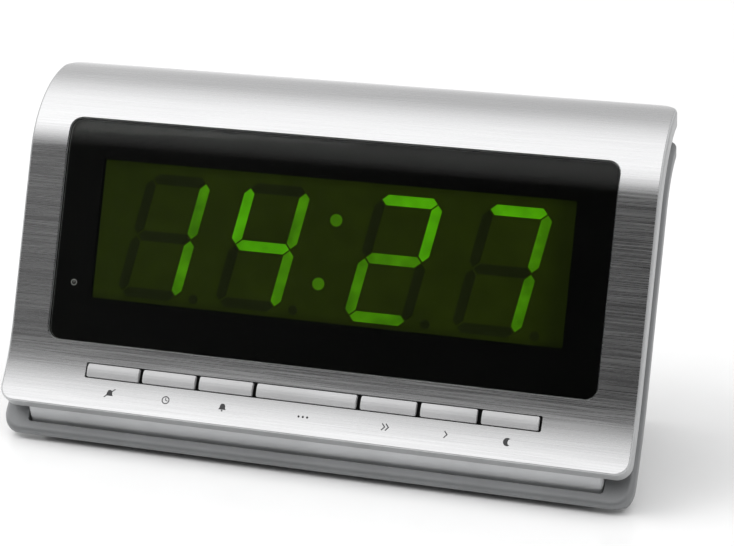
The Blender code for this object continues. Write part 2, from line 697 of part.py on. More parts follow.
def make_battery_bay():
    door = finish(
        "battery_door",
        box_mesh("door", BAY_X0 + 0.4, BAY_X1 - 0.4, 44.3, 46.4, BAY_Z0 + 0.7, BAY_Z1 - 0.5),
        **GREY,
    )
    pin = Matrix.Translation(Vector((0, DOOR_Y, DOOR_Z)) * MM) @ AXES["x"]
    middle = (BAY_X0 + BAY_X1) / 2
    join(
        door,
        cylinder_mesh("pins", 0.85, BAY_X0 - 1.1, BAY_X1 + 1.1, pin, 12),
        box_mesh("latch", middle - 5, middle + 5, 41.5, 44.6, BAY_Z1 - 3.2, BAY_Z1 - 1.2),
    )
    set_origin(door, (middle, DOOR_Y, DOOR_Z))
    snap = finish(
        "battery_snap",
        box_mesh("snap", BAY_X0 + 0.4, BAY_X0 + 3.6, 28.0, 43.0, 14.0, 34.0),
        **BLACK,
    )
    place = Matrix.Translation(Vector((BAY_X0, 0, 24.0)) * MM) @ AXES["x"]
    for z in (-6.4, 6.4):
        stud = place @ Matrix.Translation(Vector((-z, 35.5, 0)) * MM)
        join(snap, cylinder_mesh("stud", 2.8, 3.0, 6.0, stud, 16))


def make_fixings():
    for i, (x, z, y) in enumerate(POSTS, 1):
        screw = rod(f"cabinet_screw_{i}", 3.0, "y", (x, 0, z), y + 3.3, y + 5.5, 20, **STEEL)
        join(screw, cylinder_mesh("shank", 1.4, y - 9.0, y + 3.8, at_back(x, z), 12))
        cut(screw, cylinder_mesh("drive", 1.3, y + 4.3, y + 7.0, at_back(x, z), 6))
    for i, (x, y) in enumerate(FEET, 1):
        foot = [(0, 2.7), (6.0, 2.7), (6.0, 0.9), (5.4, 0.0), (0, 0.0)]
        turned(f"foot_{i}", foot, "z", (x, y, 0), 24, **RUBBER)


def make_speaker():
    centre = (SPEAKER_X, 0, SPEAKER_Z)
    frame = [(35, 43.9), (35, 42.4), (32, 42.4), (16.5, 25.0), (16.5, 23.6), (5.0, 23.6), (5.0, 25.0)]
    frame += [(15.0, 25.0), (30.6, 42.4), (30.6, 43.9)]
    turned("speaker_frame", frame, "y", centre, 30, closed=True, **STEEL)
    cone = [(0.0, 35.0), (5.0, 34.2), (8.6, 32.2), (26.4, 42.6), (28.4, 43.9), (30.2, 43.9)]
    cone += [(30.2, 43.1), (28.6, 43.1), (26.8, 41.6), (8.6, 30.8), (0.0, 30.8)]
    turned("speaker_cone", cone, "y", centre, 30, **BLACK)
    magnet = [(0, 23.3), (16.0, 23.3), (16.0, 14.5), (0, 14.5)]
    turned("speaker_magnet", magnet, "y", centre, 28, colour=(0.12, 0.12, 0.13), roughness=0.4)
    for i, side in enumerate((-1, 1), 1):
        place = (SPEAKER_X + side * SPEAKER_CLAMP, 0, SPEAKER_Z)
        screw = rod(f"speaker_screw_{i}", 4.4, "y", place, 40.0, 41.7, 20, **STEEL)
        join(screw, cylinder_mesh("shank", 1.0, 41.4, 45.0, at_back(place[0], SPEAKER_Z), 10))


def make_electronics():
    right = CABINET_HALF - CABINET_WALL - 1.0
    y0, y1 = MAIN_BOARD_Y, MAIN_BOARD_Y + 1.6
    board = finish("main_board", box_mesh("main_board", 0.0, right, y0, y1, 44.5, 106.0), **BOARD)
    for i, (x, z) in enumerate(BOARD_POSTS, 1):
        cut(board, cylinder_mesh("hole", 1.5, y0 - 2, y1 + 2, at_back(x, z), 12))
        screw = rod(f"board_screw_{i}", 3.0, "y", (x, 0, z), y0 - 2.2, y0 - GAP, 18, **STEEL)
        join(screw, cylinder_mesh("shank", 1.15, y0 - 1.0, y0 + 9.0, at_back(x, z), 10))
    chip = box_mesh("radio_chip", 46.0, 66.0, y1 + GAP, y1 + 4.0, 74.0, 81.0)
    finish("radio_chip", chip, **BLACK)
    rod(
        "filter_capacitor",
        6.5,
        "y",
        (40.0, 0, 58.0),
        y1 + GAP,
        y1 + 21.0,
        24,
        colour=(0.05, 0.07, 0.20),
        roughness=0.4,
    )

    x, y = TRANSFORMER_X, TRANSFORMER_Y
    core = finish(
        "transformer_core",
        box_mesh("core", x - 17.5, x + 17.5, y - 7.5, y + 7.5, 5.5, 34.5),
        colour=(0.20, 0.20, 0.21),
        roughness=0.5,
        metallic=0.8,
    )
    for side in (-1, 1):
        near, far = sorted((x + side * 5.5, x + side * 11.5))
        cut(core, box_mesh("window", near, far, y - 9, y + 9, 11.0, 29.0))
    winding = finish(
        "transformer_winding",
        box_mesh("winding", x - 11.2, x + 11.2, y - 13.5, y + 13.5, 11.3, 28.7),
        colour=(0.55, 0.42, 0.12),
        roughness=0.5,
    )
    cut(winding, box_mesh("leg_way", x - 5.8, x + 5.8, y - 7.8, y + 7.8, 5, 35))

    rod("ferrite_rod", ROD_RADIUS, "x", (0, ROD_Y, ROD_Z), -90, -6, 24, colour=(0.06, 0.06, 0.07))
    coil = [(7.4, -30), (7.4, -60), (ROD_RADIUS + GAP, -60), (ROD_RADIUS + GAP, -30)]
    turned("antenna_coil", coil, "x", (0, ROD_Y, ROD_Z), 28, closed=True, **COPPER)


def thumb_wheel(name, z):
    """An edge-on control wheel with its spindle, whose origin is on the spindle's axis."""
    rim, top = WHEEL_RADIUS, WHEEL_THICK
    profile = [(0, top), (4.5, top), (4.5, top - 1), (rim - 2, top - 1), (rim - 1.6, top)]
    profile += [(rim, top - 0.4), (rim, 0.4), (rim - 0.6, 0.0), (4.0, 0.0)]
    profile += [(SPINDLE_RADIUS, -0.6), (SPINDLE_RADIUS, SPINDLE_END), (0, SPINDLE_END)]
    centre = (WHEEL_X, WHEEL_Y, z)
    turned(name, profile, "y", centre, 32, colour=(0.05, 0.05, 0.055), roughness=0.5)


def make_controls():
    y0 = MAIN_BOARD_Y + 1.6 + GAP
    capacitor = box_mesh("gang", WHEEL_X - 9, WHEEL_X + 9, y0, 28.0, TUNING_Z - 9, TUNING_Z + 9)
    gang = finish("tuning_capacitor", capacitor, colour=(0.75, 0.74, 0.70), roughness=0.4)
    pot = rod("volume_pot", 8.5, "y", (WHEEL_X, 0, VOLUME_Z), y0, 27.0, 28, **STEEL)
    join(pot, cylinder_mesh("bush", 5.0, 26.0, 29.0, at_back(WHEEL_X, VOLUME_Z), 20))
    for body, z in ((gang, TUNING_Z), (pot, VOLUME_Z)):
        cut(body, cylinder_mesh("bore", 3.3, 24.0, 32.0, at_back(WHEEL_X, z), 20))
    thumb_wheel("tuning_wheel", TUNING_Z)
    thumb_wheel("volume_wheel", VOLUME_Z)
    for name, x, travel in (("function", FUNCTION_X, 7.0), ("band", BAND_X, 3.6)):
        reach = travel / 2 + 3.9
        body = box_mesh("body", x - 12, x + 12, 36.0, 43.9, SWITCH_Z - 5, SWITCH_Z + 5)
        body = finish(f"{name}_switch", body, **STEEL)
        cut(body, box_mesh("channel", x - reach, x + reach, 38.0, 46, SWITCH_Z - 1.9, SWITCH_Z + 1.9))
        x -= travel / 2
        slider = box_mesh("slider", x - 3.3, x + 3.3, 38.4, 49.0, SWITCH_Z - 1.6, SWITCH_Z + 1.6)
        set_origin(finish(f"{name}_slider", slider, **BLACK), (x, 43.0, SWITCH_Z))
    inlet = [(7.5, 48.2), (7.5, 46.8), (5.0, 46.8), (5.0, 44.0), (6.5, 44.0), (6.5, 42.2), (3.2, 42.2)]
    inlet.append((3.2, 48.2))
    turned("cord_inlet", inlet, "y", (CORD_X, 0, CORD_Z), 28, closed=True, **RUBBER)


make_fascia()
make_display()
make_keys()
make_core()
make_rear_shell()
make_cabinet()
make_battery_bay()
make_fixings()
make_speaker()
make_electronics()
make_controls()
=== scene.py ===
"""Looks for the clock radio: the curved front layers, keys, display and captions are remade finely
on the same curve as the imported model, the edge wheels get their ribs, every other piece gets its
material, and a plain pale studio and the camera stand round it.

Shapes are in millimetres; lights, camera, floor and bounds are in metres.
"""

import math

import bmesh
import bpy
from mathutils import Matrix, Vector


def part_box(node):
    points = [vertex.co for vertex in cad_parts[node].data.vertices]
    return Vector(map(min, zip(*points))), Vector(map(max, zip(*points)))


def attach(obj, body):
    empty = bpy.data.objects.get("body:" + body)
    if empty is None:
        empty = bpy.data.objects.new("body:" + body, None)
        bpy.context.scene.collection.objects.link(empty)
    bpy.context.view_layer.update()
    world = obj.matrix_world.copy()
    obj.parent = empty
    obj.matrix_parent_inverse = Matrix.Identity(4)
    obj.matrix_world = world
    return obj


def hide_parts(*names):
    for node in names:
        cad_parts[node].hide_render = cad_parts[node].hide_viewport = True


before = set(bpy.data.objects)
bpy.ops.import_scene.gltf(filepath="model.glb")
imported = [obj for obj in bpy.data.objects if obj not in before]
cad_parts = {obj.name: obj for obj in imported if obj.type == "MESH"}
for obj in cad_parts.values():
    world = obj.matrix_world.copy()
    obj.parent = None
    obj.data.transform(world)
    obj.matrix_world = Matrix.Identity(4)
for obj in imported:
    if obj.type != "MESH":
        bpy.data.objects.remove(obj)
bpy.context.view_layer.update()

MM = 0.001

# The face's side view: a leaning flat, a roof curved back above it and a lip flared out below it.
# A place on it is s, down the face from its middle, and a depth behind its surface.
LEAN = math.radians(21.2)
FLAT_UP, FLAT_DOWN = 42.9, 25.7
ROOF_RADIUS, FLARE_RADIUS = 42.0, 90.0
PANEL_MID_Y, PANEL_MID_Z = -22.5, 70.5
ROOF_Y = PANEL_MID_Y + FLAT_UP * math.sin(LEAN) + ROOF_RADIUS * math.cos(LEAN)
ROOF_Z = PANEL_MID_Z + FLAT_UP * math.cos(LEAN) - ROOF_RADIUS * math.sin(LEAN)
FLARE_Y = PANEL_MID_Y - FLAT_DOWN * math.sin(LEAN) - FLARE_RADIUS * math.cos(LEAN)
FLARE_Z = PANEL_MID_Z - FLAT_DOWN * math.cos(LEAN) + FLARE_RADIUS * math.sin(LEAN)

KEY_WIDTH, LONG_KEY_WIDTH = 21.9, 40.4
KEYS = (
    ("alarm_off", KEY_WIDTH),
    ("time", KEY_WIDTH),
    ("alarm_set", KEY_WIDTH),
    ("snooze", LONG_KEY_WIDTH),
    ("hour", KEY_WIDTH),
    ("minute", KEY_WIDTH),
    ("sleep", KEY_WIDTH),
)
KEY_S, KEY_HEIGHT, KEY_SPACE, KEY_CROWN = 43.0, 5.35, 1.95, 0.75
DISPLAY_MID, DIGIT_MID = -14.0, -12.9
CAPTION_S, MARK_SCALE = 51.3, 1.25
LAMP_UP = -8.6

# How far behind the face each layer's front and back lie.
DEPTHS = {
    "key": (-0.5, 4.7),
    "mark": (-0.03, 0.05),
    "sheet": (0.0, 0.8),
    "rim_front": (0.2, 1.1),
    "lens": (0.45, 2.35),
    "gap_shade": (0.85, 3.0),
    "tray": (1.1, 4.4),
    "rim": (1.1, 6.2),
    "lamp_mark": (2.34, 2.40),
    "mask": (2.42, 2.62),
    "lens_seat": (2.8, 4.4),
    "bar": (4.62, 4.86),
    "display_face": (4.9, 5.1),
    "core_web": (6.5, 8.5),
    "core": (6.5, 14.0),
    "shell_web": (11.2, 14.2),
    "shell": (11.2, 18.2),
    "closing": (14.22, 14.62),
}
SHELL_FLOOR = 1.8


# ---------------------------------------------------------------- the fascia's curve
def on_panel(s, depth):
    """(y, z) at s down the front face and this deep behind it."""
    if s < -FLAT_UP:
        lean = LEAN + (-FLAT_UP - s) / ROOF_RADIUS
        radius = ROOF_RADIUS - depth
        return ROOF_Y - radius * math.cos(lean), ROOF_Z + radius * math.sin(lean)
    if s > FLAT_DOWN:
        lean = LEAN + (s - FLAT_DOWN) / FLARE_RADIUS
        radius = FLARE_RADIUS + depth
        return FLARE_Y + radius * math.cos(lean), FLARE_Z - radius * math.sin(lean)
    return (
        PANEL_MID_Y - s * math.sin(LEAN) + depth * math.cos(LEAN),
        PANEL_MID_Z - s * math.cos(LEAN) - depth * math.sin(LEAN),
    )


def lean_near(y, z):
    """The lean of the curve at the point of it nearest to (y, z), in millimetres."""
    up = (z - PANEL_MID_Z) * math.cos(LEAN) + (y - PANEL_MID_Y) * math.sin(LEAN)
    if up > FLAT_UP:
        return math.atan2(z - ROOF_Z, ROOF_Y - y)
    if up < -FLAT_DOWN:
        return math.atan2(FLARE_Z - z, y - FLARE_Y)
    return LEAN


# ---------------------------------------------------------------- outlines in (x, s)
def rounded(x0, x1, low, high, radius, steps=8, low_radius=None):
    """A rounded rectangle of (x, -s) points; low_radius rounds its two lower corners."""
    low_radius = radius if low_radius is None else low_radius
    corners = (
        (x1, high, -1, -1, 0, radius),
        (x0, high, 1, -1, 90, radius),
        (x0, low, 1, 1, 180, low_radius),
        (x1, low, -1, 1, 270, low_radius),
    )
    points = []
    for x, y, sx, sy, start, r in corners:
        for i in range(steps + 1):
            turn = math.radians(start + 90 * i / steps)
            points.append((x + sx * r + r * math.cos(turn), y + sy * r + r * math.sin(turn)))
    return points


LENS_OPENING = rounded(-108.95, 108.95, -28.9, 56.0, 4.0)


def shifted(points, x, s):
    return [(px + x, py - s) for px, py in points]


def turns(start, end, steps):
    """Angles from start to end, both in degrees, as radians."""
    return [math.radians(start + (end - start) * i / steps) for i in range(steps + 1)]


def disc(x, up, radius, steps=20):
    angles = [2 * math.pi * i / steps for i in range(steps)]
    return [(x + radius * math.cos(a), up + radius * math.sin(a)) for a in angles]


def filled(outlines):
    """A bmesh of flat faces inside the first outline and outside the others."""
    curve = bpy.data.curves.new("fill", "CURVE")
    curve.dimensions = "2D"
    curve.fill_mode = "BOTH"
    for points in outlines:
        spline = curve.splines.new("POLY")
        spline.points.add(len(points) - 1)
        for point, (u, v) in zip(spline.points, points):
            point.co = (u, v, 0.0, 1.0)
        spline.use_cyclic_u = True
    source = bpy.data.objects.new("fill", curve)
    bpy.context.scene.collection.objects.link(source)
    graph = bpy.context.evaluated_depsgraph_get()
    mesh = bpy.data.meshes.new_from_object(source.evaluated_get(graph))
    bpy.data.objects.remove(source)
    bpy.data.curves.remove(curve)
    bm = bmesh.new()
    bm.from_mesh(mesh)
    bpy.data.meshes.remove(mesh)
    bmesh.ops.remove_doubles(bm, verts=bm.verts, dist=1e-4)
    doubled = [f for f in bm.faces if f.normal.z < 0]
    if len(doubled) < len(bm.faces):
        bmesh.ops.delete(bm, geom=doubled, context="FACES")
    return bm


ROUND_STEPS = 5
# Where a layer is cut across, so that it can bend: close together on the roof and on the lip.
CURVE_CUTS = [FLAT_UP + 1.3 * i for i in range(80)] + [-FLAT_DOWN - 1.8 * i for i in range(40)]


def layer(
    outlines,
    front,
    back,
    back_scale=1.0,
    back_lip=None,
    floor=None,
    material=0,
    crown=None,
    lines=(),
    front_scale=1.0,
    front_round=0.0,
    rear_round=0.0,
):
    """A bmesh of a layer between two depths of the curve, whose outlines are in (x, -s).

    front_scale and back_scale widen it in x, back_lip is where its back's lower edge lies, floor is
    the lowest that it may reach, crown gives how much further out its front stands at (x, s), lines
    are more cuts across it, and front_round and rear_round are the radii of its outer edges.
    """
    bm = filled(outlines)
    low, high = (f(v.co.y for v in bm.verts) for f in (min, max))
    for stop in [*CURVE_CUTS, *lines]:
        if low + 0.05 < stop < high - 0.05:
            geometry = bm.verts[:] + bm.edges[:] + bm.faces[:]
            bmesh.ops.bisect_plane(
                bm, geom=geometry, dist=1e-4, plane_co=(0, stop, 0), plane_no=(0, 1, 0)
            )
    rim = [e for e in bm.edges if e.is_boundary]
    fronts = bm.verts[:]
    faces = bm.faces[:]
    twin = {v: bm.verts.new(v.co) for v in fronts}
    for face in faces:
        made = bm.faces.new([twin[v] for v in reversed(face.verts)])
        made.material_index = material
        face.material_index = material
    for edge in rim:
        loop = edge.link_loops[0]
        a, b = loop.vert, loop.link_loop_next.vert
        side = bm.faces.new((b, a, twin[a], twin[b]))
        side.material_index = material
    stretch = 1.0 if back_lip is None else (back_lip - FLAT_DOWN) / (-low - FLAT_DOWN)
    for v in fronts:
        x, s = v.co.x, -v.co.y
        y, z = on_panel(s, front - (crown(x, s) if crown else 0.0))
        far_s = FLAT_DOWN + (s - FLAT_DOWN) * stretch if s > FLAT_DOWN else s
        far_y, far_z = on_panel(far_s, back)
        if floor is not None:
            z, far_z = max(z, floor), max(far_z, floor)
        v.co = Vector((x * front_scale, y, z)) * MM
        twin[v].co = Vector((x * back_scale, far_y, far_z)) * MM
    bmesh.ops.recalc_face_normals(bm, faces=bm.faces)
    around = outer_loop(rim)
    ends = (
        (front_round, [bm.edges.get(edge) for edge in around]),
        (rear_round, [bm.edges.get((twin[a], twin[b])) for a, b in around]),
    )
    for radius, edges in ends:
        if radius:
            bmesh.ops.bevel(
                bm,
                geom=edges,
                offset=radius * MM,
                segments=ROUND_STEPS,
                profile=0.5,
                affect="EDGES",
                clamp_overlap=True,
            )
    return bm


def outer_loop(rim):
    """The ends of the edges in the widest of a rim's loops."""
    left, loops = set(rim), []
    while left:
        grown, front = set(), {left.pop()}
        while front:
            grown |= front
            left -= front
            front = {e for edge in front for v in edge.verts for e in v.link_edges if e in left}
        loops.append(grown)
    widest = max(loops, key=lambda loop: max(v.co.x for e in loop for v in e.verts))
    return [tuple(e.verts) for e in widest]


LONG_SIDE = 40


def ring(x1, low, high, radius, low_radius, section, floor, steps=8, rows=110):
    """A bmesh swept round the panel's edge, as wide on each side as x1.

    section is a loop of (inset, depth) points, steps divide a corner and rows divide a long side.
    """
    bm = bmesh.new()
    loops = []
    for inset, depth in section:
        side = x1 - inset
        radii = (radius - inset, steps, low_radius - inset)
        outline = rounded(-side, side, low + inset, high - inset, *radii)
        loop = []
        for (x, up), (next_x, next_up) in zip(outline, outline[1:] + outline[:1]):
            count = rows if abs(next_up - up) > LONG_SIDE else 1
            for i in range(count):
                y, z = on_panel(-(up + (next_up - up) * i / count), depth)
                loop.append(bm.verts.new(Vector((x, y, max(z, floor))) * MM))
        loops.append(loop)
    for near, far in zip(loops, loops[1:] + loops[:1]):
        for i in range(len(near)):
            bm.faces.new((near[i - 1], near[i], far[i], far[i - 1]))
    bmesh.ops.dissolve_degenerate(bm, dist=1e-6, edges=bm.edges)
    bmesh.ops.recalc_face_normals(bm, faces=bm.faces)
    return bm


def round_section(width, front, back, front_radius, back_radius, steps=6):
    """A ring's section whose two outer edges are rounded."""
    section = [(width, front)]
    edges = (
        (front + front_radius, front_radius, 90),
        (back - back_radius, back_radius, 0),
    )
    for middle, radius, start in edges:
        for i in range(steps + 1):
            turn = math.radians(start - 90 * i / steps)
            section.append((radius - radius * math.cos(turn), middle - radius * math.sin(turn)))
    return section + [(width, back)]


def joined(*parts):
    """Several bmeshes as one mesh."""
    whole = bmesh.new()
    for part in parts:
        mesh = bpy.data.meshes.new("part")
        part.to_mesh(mesh)
        part.free()
        whole.from_mesh(mesh)
        bpy.data.meshes.remove(mesh)
    return whole


# ---------------------------------------------------------------- objects
BEVEL_FROM, SHARP_FROM = math.radians(40), math.radians(28)
ALONG_CURVE = 0.995


def piece(name, bm, body, materials, replaces=(), bevel=0.0, segments=2):
    """Links a piece with its edges softened and its shading taken from the fascia's curve."""
    mesh = bpy.data.meshes.new(name)
    bm.to_mesh(mesh)
    bm.free()
    obj = bpy.data.objects.new(name, mesh)
    bpy.context.scene.collection.objects.link(obj)
    if bevel:
        step = obj.modifiers.new("soft_edges", "BEVEL")
        step.width = bevel * MM
        step.segments = segments
        step.limit_method = "ANGLE"
        step.angle_limit = BEVEL_FROM
        graph = bpy.context.evaluated_depsgraph_get()
        mesh = bpy.data.meshes.new_from_object(obj.evaluated_get(graph))
        obj.modifiers.clear()
        obj.data = mesh
        mesh.name = name
    for material in materials:
        mesh.materials.append(material)
    mesh.shade_smooth()
    mesh.set_sharp_from_angle(angle=SHARP_FROM)
    curve_normals(mesh)
    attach(obj, body)
    if replaces:
        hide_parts(*replaces)
    return obj


def curve_normals(mesh):
    """Shades faces that lie along the curve with the curve's own normals."""
    normals = [corner.vector.copy() for corner in mesh.corner_normals]
    for face in mesh.polygons:
        for corner in face.loop_indices:
            co = mesh.vertices[mesh.loops[corner].vertex_index].co / MM
            lean = lean_near(co.y, co.z)
            out = Vector((0, -math.cos(lean), math.sin(lean)))
            along = face.normal.dot(out)
            if abs(along) > ALONG_CURVE:
                normals[corner] = out if along > 0 else -out
    mesh.normals_split_custom_set([tuple(n) for n in normals])


# ---------------------------------------------------------------- materials
def new_material(name, colour, roughness, metallic=0.0, **inputs):
    material = bpy.data.materials.new(name)
    material.use_nodes = True
    shader = material.node_tree.nodes["Principled BSDF"]
    shader.inputs["Base Color"].default_value = (*colour, 1.0)
    shader.inputs["Roughness"].default_value = roughness
    shader.inputs["Metallic"].default_value = metallic
    for key, value in inputs.items():
        shader.inputs[key.replace("_", " ")].default_value = value
    return material


def add(material, kind, **settings):
    node = material.node_tree.nodes.new(kind)
    for key, value in settings.items():
        if key in node.inputs:
            node.inputs[key].default_value = value
        else:
            setattr(node, key, value)
    return node


def link(material, out, into):
    material.node_tree.links.new(out, into)


def noise(material, scale, stretch=(1, 1, 1), detail=3.0):
    """A noise in object space whose features are 1 / scale of a millimetre, stretched by axis."""
    place = add(material, "ShaderNodeTexCoord")
    mapping = add(material, "ShaderNodeMapping")
    mapping.inputs["Scale"].default_value = tuple(1000.0 * scale * k for k in stretch)
    texture = add(material, "ShaderNodeTexNoise", Scale=1.0, Detail=detail)
    link(material, place.outputs["Object"], mapping.inputs["Vector"])
    link(material, mapping.outputs["Vector"], texture.inputs["Vector"])
    return texture.outputs["Fac"]


NOISE_RANGE = (0.3, 0.7)


def spread(material, factor, low, high):
    """A factor's middle range spread from low to high."""
    node = add(material, "ShaderNodeMapRange")
    node.inputs["From Min"].default_value, node.inputs["From Max"].default_value = NOISE_RANGE
    node.inputs["To Min"].default_value = low
    node.inputs["To Max"].default_value = high
    link(material, factor, node.inputs["Value"])
    return node.outputs["Result"]


def colours(material, factor, low, high):
    """A factor's middle range as a ramp between two colours."""
    node = add(material, "ShaderNodeValToRGB")
    for element, position, colour in zip(node.color_ramp.elements, NOISE_RANGE, (low, high)):
        element.position = position
        element.color = (*colour, 1.0)
    link(material, factor, node.inputs["Fac"])
    return node.outputs["Color"]


def shader_of(material):
    return material.node_tree.nodes["Principled BSDF"]


def detailed(
    name,
    colour,
    roughness,
    metallic=0.0,
    grain=2.0,
    stretch=(1, 1, 1),
    bump=0.05,
    vary=0.08,
    rough=0.08,
    **more,
):
    """A surface with grain: bump and roughness from fine noise, and a slow drift of its colour."""
    material = new_material(name, colour, roughness, metallic, **more)
    shader = shader_of(material)
    fine = noise(material, grain, stretch)
    slow = noise(material, 0.03, detail=4.0)
    dark = tuple(c * (1 - vary) for c in colour)
    light = tuple(min(1.0, c * (1 + vary)) for c in colour)
    link(material, colours(material, slow, dark, light), shader.inputs["Base Color"])
    span = spread(material, fine, max(0.02, roughness - rough), roughness + rough)
    link(material, span, shader.inputs["Roughness"])
    height = add(material, "ShaderNodeBump", Strength=bump, Distance=0.0003)
    link(material, fine, height.inputs["Height"])
    link(material, height.outputs["Normal"], shader.inputs["Normal"])
    return material


def make_brushed():
    """Aluminium with fine brushing along X: streaks in colour, roughness and a little relief."""
    material = new_material("brushed_aluminium", (0.56, 0.56, 0.57), 0.22, 1.0)
    shader = shader_of(material)
    streaks = noise(material, 2.6, (0.009, 1, 1), detail=2.0)
    hairs = noise(material, 6.0, (0.004, 1, 1), detail=2.0)
    tone = colours(material, hairs, (0.575, 0.575, 0.58), (0.625, 0.625, 0.63))
    link(material, tone, shader.inputs["Base Color"])
    link(material, spread(material, streaks, 0.19, 0.34), shader.inputs["Roughness"])
    height = add(material, "ShaderNodeBump", Strength=0.012, Distance=0.0001)
    link(material, streaks, height.inputs["Height"])
    link(material, height.outputs["Normal"], shader.inputs["Normal"])
    return material


BRUSHED = make_brushed()
BEZEL_PAINT = detailed("silver_bezel", (0.46, 0.465, 0.47), 0.42, 0.25, grain=5.0, bump=0.03)
CORE_PAINT = detailed("silver_core", (0.68, 0.69, 0.70), 0.42, 0.15, grain=5.0, bump=0.04)
SHELL_PAINT = detailed("grey_shell", (0.215, 0.22, 0.225), 0.40, 0.25, grain=4.0, bump=0.06)
CABINET_PAINT = detailed("grey_cabinet", (0.17, 0.175, 0.18), 0.55, 0.0, grain=2.2, bump=0.25)
KEY_PAINT = detailed("key_silver", (0.50, 0.50, 0.505), 0.42, 0.1, grain=5.0, bump=0.03)
INK = detailed("caption_ink", (0.035, 0.035, 0.038), 0.5, grain=8.0)
PALE_INK = detailed("window_ink", (0.55, 0.56, 0.55), 0.5, grain=8.0)
MASK = detailed("window_mask", (0.0025, 0.0025, 0.0025), 0.6, grain=3.0, Specular_IOR_Level=0.05)
BLACK = detailed("black_plastic", (0.015, 0.015, 0.017), 0.5, grain=3.0, bump=0.15)
# Near-black and matt: painted shade for the gaps round the keys, where this sheet shows.
KEY_GAP_SHADE = detailed("key_gap_shade", (0.004, 0.004, 0.004), 0.9, grain=4.0, Specular_IOR_Level=0.1)
RUBBER = detailed("soft_rubber", (0.012, 0.012, 0.012), 0.85, grain=3.0, bump=0.3)
STEEL = detailed("plated_steel", (0.62, 0.62, 0.60), 0.3, 1.0, grain=3.0, stretch=(1, 0.1, 1))
BOARD = detailed("board_laminate", (0.40, 0.27, 0.10), 0.5, grain=1.5, bump=0.1, vary=0.25)
COPPER = detailed("copper_wire", (0.62, 0.25, 0.09), 0.35, 0.9, grain=4.0, stretch=(1, 0.02, 0.02))
CONE = detailed("cone_paper", (0.02, 0.02, 0.02), 0.9, grain=2.0, bump=0.5)
IRON = detailed("dark_iron", (0.06, 0.06, 0.065), 0.55, 0.3, grain=3.0, bump=0.3)
TAPE = detailed("winding_tape", (0.55, 0.38, 0.06), 0.35, grain=0.8, stretch=(0.1, 1, 1), vary=0.2)
SLEEVE = detailed("capacitor_sleeve", (0.02, 0.03, 0.12), 0.3, grain=1.0)
GANG = detailed("gang_plastic", (0.72, 0.70, 0.62), 0.35, grain=1.0)


def make_lens_material():
    """Smoked acrylic: clear enough for the lit display to show, and black elsewhere."""
    smoke = (0.66, 0.68, 0.64)
    material = detailed("smoked_lens", smoke, 0.02, grain=0.05, bump=0.0006, rough=0.015)
    shader = shader_of(material)
    shader.inputs["Transmission Weight"].default_value = 1.0
    shader.inputs["IOR"].default_value = 1.23
    return material


def make_segment_material(name, colour, dim):
    """A surface that glows unevenly, in patches between the colour and a dimmer one: a lit
    segment's own light, or painted light on a surface that is no lamp.
    """
    material = new_material(name, (0.002, 0.003, 0.001), 0.6, Specular_IOR_Level=0.05)
    shader = shader_of(material)
    patch = noise(material, 0.12, detail=2.0)
    low = tuple(c * dim for c in colour)
    link(material, colours(material, patch, low, colour), shader.inputs["Emission Color"])
    shader.inputs["Emission Strength"].default_value = 1.0
    return material


DISPLAY_Z = 81.8


def fade_painted_glow_edges(material):
    """Dims the display face's painted light at its right end and along its upper and lower edges:
    painted shade.
    """
    shader = shader_of(material)
    painted_glow = shader.inputs["Emission Color"].links[0].from_socket
    place = add(material, "ShaderNodeTexCoord")
    split = add(material, "ShaderNodeSeparateXYZ")
    link(material, place.outputs["Object"], split.inputs["Vector"])
    away = add(material, "ShaderNodeMath", operation="SUBTRACT")
    away.inputs[1].default_value = DISPLAY_Z * MM
    link(material, split.outputs["Z"], away.inputs[0])
    height = add(material, "ShaderNodeMath", operation="ABSOLUTE")
    link(material, away.outputs[0], height.inputs[0])
    fades = (
        (split.outputs["X"], 84.0, 94.0, 0.52),
        (height.outputs[0], 22.5, 26.2, 0.7),
    )
    for measure, start, end, dim in fades:
        ease = add(material, "ShaderNodeMapRange", interpolation_type="SMOOTHSTEP")
        ease.inputs["From Min"].default_value = start * MM
        ease.inputs["From Max"].default_value = end * MM
        ease.inputs["To Min"].default_value = 1.0
        ease.inputs["To Max"].default_value = dim
        link(material, measure, ease.inputs["Value"])
        scaled = add(material, "ShaderNodeVectorMath", operation="SCALE")
        link(material, painted_glow, scaled.inputs[0])
        link(material, ease.outputs["Result"], scaled.inputs["Scale"])
        painted_glow = scaled.outputs[0]
    link(material, painted_glow, shader.inputs["Emission Color"])


LENS = make_lens_material()
LIT = make_segment_material("segment_lit", (0.085, 0.33, 0.002), 0.5)
LIT_BRIGHT = make_segment_material("segment_bright", (0.11, 0.53, 0.002), 0.65)
LIT_DIM = make_segment_material("segment_dim", (0.07, 0.24, 0.002), 0.8)
# The unlit segments are made to shine faintly green: painted light, standing for the room's light
# that they give back through the green filter.
UNLIT_PAINTED_GLOW = make_segment_material("segment_unlit_painted_glow", (0.009, 0.013, 0.002), 0.85)
# The display face glows faintly green: painted light, standing for the room's light that its grey
# face gives back through the green filter.
PAINTED_GLOW = make_segment_material("display_painted_glow", (0.018, 0.029, 0.001), 0.8)
fade_painted_glow_edges(PAINTED_GLOW)


